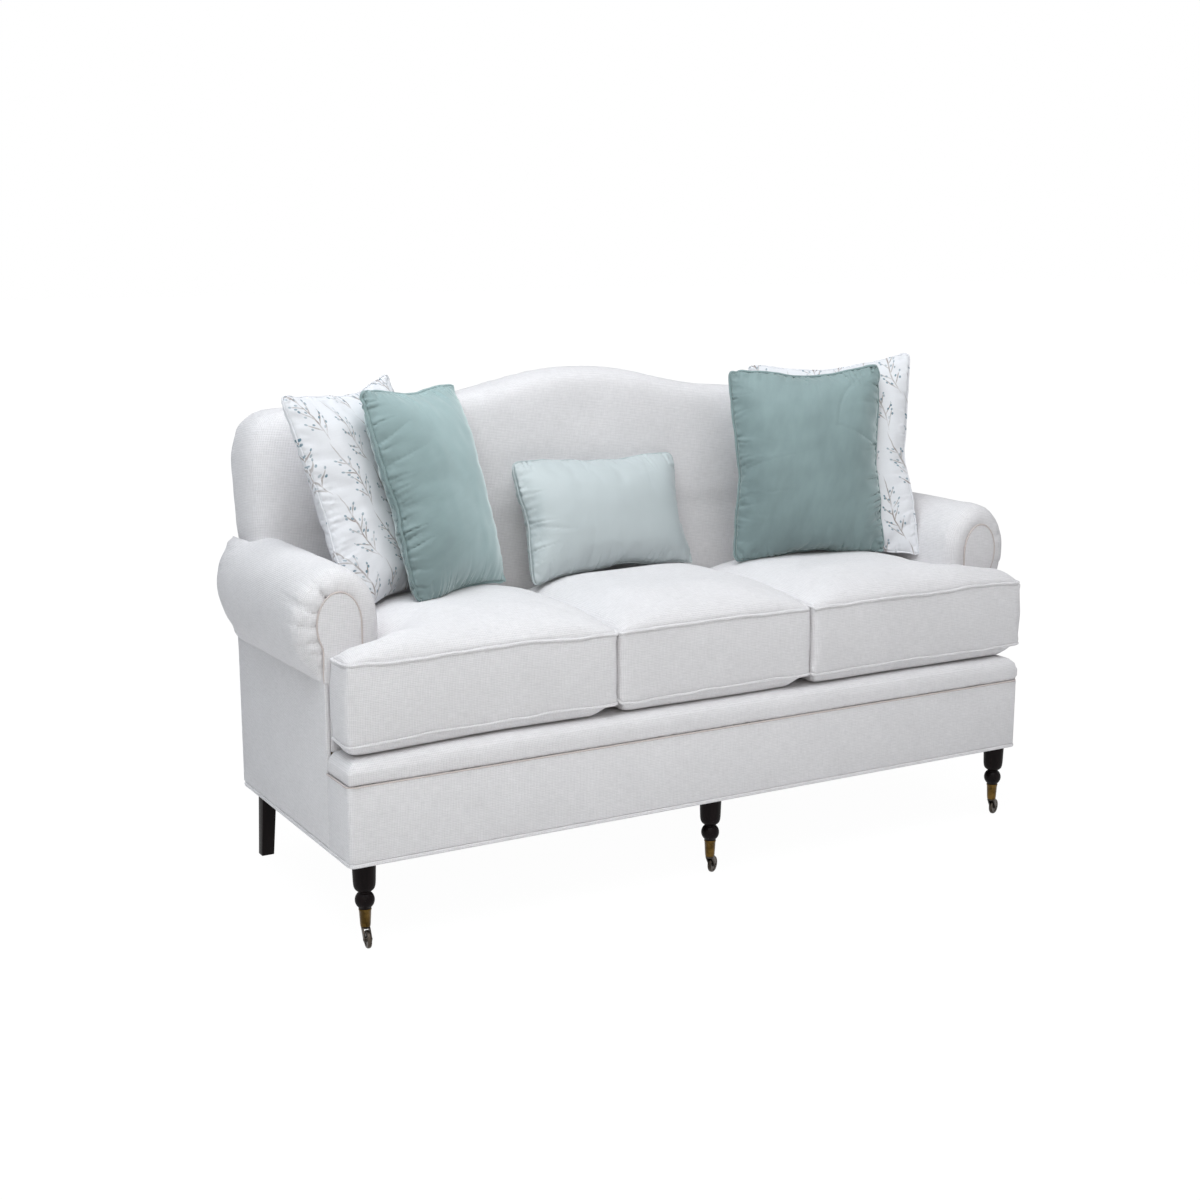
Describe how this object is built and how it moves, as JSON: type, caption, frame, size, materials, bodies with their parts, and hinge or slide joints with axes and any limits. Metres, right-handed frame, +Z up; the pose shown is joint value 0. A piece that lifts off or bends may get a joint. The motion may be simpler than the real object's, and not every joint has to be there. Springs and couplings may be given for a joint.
{
  "type": "camelback sofa",
  "caption": "Upholstered camelback sofa with rolled arms, loose seat cushions, throw pillows and turned front legs on swivel casters.",
  "frame": {"origin": "on the floor, under the middle of the whole sofa", "axes": "+X along the seat to the right of someone facing the sofa, +Y towards its back, +Z up"},
  "size_m": [1.6852, 0.6628, 1.0193],
  "materials": {
    "linen": "matt woven, ivory",
    "print": "matt printed cotton, white ground with grey-green sprigs",
    "velvet": "sage green velvet",
    "satin": "silvery green satin",
    "hardwood": "planed, unfinished",
    "espresso": "dark stain, satin lacquer",
    "brass": "aged",
    "iron": "dark plated",
    "spring_steel": "oiled wire",
    "cambric": "thin black lining"
  },
  "bodies": {
    "sofa": {"front_rail": "hardwood", "back_rail": "hardwood", "centre_stretcher": "hardwood", "back_top_rail": "hardwood", "side_rail_left": "hardwood", "side_rail_right": "hardwood", "front_corner_block_left": "hardwood", "front_corner_block_right": "hardwood", "back_corner_block_left": "hardwood", "back_corner_block_right": "hardwood", "back_post_left": "hardwood", "back_post_right": "hardwood", "arm_post_left": "hardwood", "arm_post_right": "hardwood", "arm_rail_left": "hardwood", "arm_rail_right": "hardwood", "seat_spring_1": "spring_steel", "seat_spring_2": "spring_steel", "seat_spring_3": "spring_steel", "seat_spring_4": "spring_steel", "seat_spring_5": "spring_steel", "seat_spring_6": "spring_steel", "deck_pad": "linen", "deck_lip": "linen", "front_apron": "linen", "outside_back_panel": "linen", "back_pad": "linen", "bottom_welt": "linen", "side_panel_left": "linen", "side_panel_right": "linen", "arm_pad_left": "linen", "arm_pad_right": "linen", "arm_facing_left": "linen", "arm_facing_right": "linen", "dust_cover": "cambric", "front_leg_left": "espresso", "back_leg_left": "espresso", "caster_cup_left": "brass", "front_leg_centre": "espresso", "back_leg_centre": "espresso", "caster_cup_centre": "brass", "front_leg_right": "espresso", "back_leg_right": "espresso", "caster_cup_right": "brass"},
    "caster_left": {"caster_fork_left": "iron"},
    "wheel_left": {"caster_wheel_left": "iron"},
    "caster_centre": {"caster_fork_centre": "iron"},
    "wheel_centre": {"caster_wheel_centre": "iron"},
    "caster_right": {"caster_fork_right": "iron"},
    "wheel_right": {"caster_wheel_right": "iron"},
    "seat_left": {"seat_cushion_left": "linen"},
    "seat_centre": {"seat_cushion_centre": "linen"},
    "seat_right": {"seat_cushion_right": "linen"},
    "print_left": {"pillow_print_left": "print"},
    "velvet_left": {"pillow_velvet_left": "velvet"},
    "print_right": {"pillow_print_right": "print"},
    "velvet_right": {"pillow_velvet_right": "velvet"},
    "lumbar": {"pillow_lumbar": "satin"}
  },
  "joints": [
    {"name": "caster_left_swivel", "type": "hinge", "parent": "sofa", "child": "caster_left", "pos_m": [-0.7546, -0.30127, 0.045], "axis": [0, 0, 1], "continuous": true},
    {"name": "wheel_left_roll", "type": "hinge", "parent": "caster_left", "child": "wheel_left", "pos_m": [-0.75618, -0.31417, 0.017], "axis": [0.9925, -0.1219, 0], "continuous": true},
    {"name": "caster_centre_swivel", "type": "hinge", "parent": "sofa", "child": "caster_centre", "pos_m": [0, -0.30127, 0.045], "axis": [0, 0, 1], "continuous": true},
    {"name": "wheel_centre_roll", "type": "hinge", "parent": "caster_centre", "child": "wheel_centre", "pos_m": [0.01103, -0.29438, 0.017], "axis": [-0.5299, 0.848, 0], "continuous": true},
    {"name": "caster_right_swivel", "type": "hinge", "parent": "sofa", "child": "caster_right", "pos_m": [0.7546, -0.30127, 0.045], "axis": [0, 0, 1], "continuous": true},
    {"name": "wheel_right_roll", "type": "hinge", "parent": "caster_right", "child": "wheel_right", "pos_m": [0.76648, -0.29598, 0.017], "axis": [-0.4067, 0.9135, 0], "continuous": true},
    {"name": "seat_left_lift", "type": "slide", "parent": "sofa", "child": "seat_left", "axis": [0, 0, 1], "range_m": [0, 0.3]},
    {"name": "seat_centre_lift", "type": "slide", "parent": "sofa", "child": "seat_centre", "axis": [0, 0, 1], "range_m": [0, 0.3]},
    {"name": "seat_right_lift", "type": "slide", "parent": "sofa", "child": "seat_right", "axis": [0, 0, 1], "range_m": [0, 0.3]},
    {"name": "print_left_lift", "type": "slide", "parent": "seat_left", "child": "print_left", "axis": [0, 0, 1], "range_m": [0, 0.3]},
    {"name": "velvet_left_lift", "type": "slide", "parent": "print_left", "child": "velvet_left", "axis": [0, 0, 1], "range_m": [0, 0.3]},
    {"name": "print_right_lift", "type": "slide", "parent": "seat_right", "child": "print_right", "axis": [0, 0, 1], "range_m": [0, 0.3]},
    {"name": "velvet_right_lift", "type": "slide", "parent": "print_right", "child": "velvet_right", "axis": [0, 0, 1], "range_m": [0, 0.3]},
    {"name": "lumbar_lift", "type": "slide", "parent": "seat_centre", "child": "lumbar", "axis": [0, 0, 1], "range_m": [0, 0.3]}
  ]
}
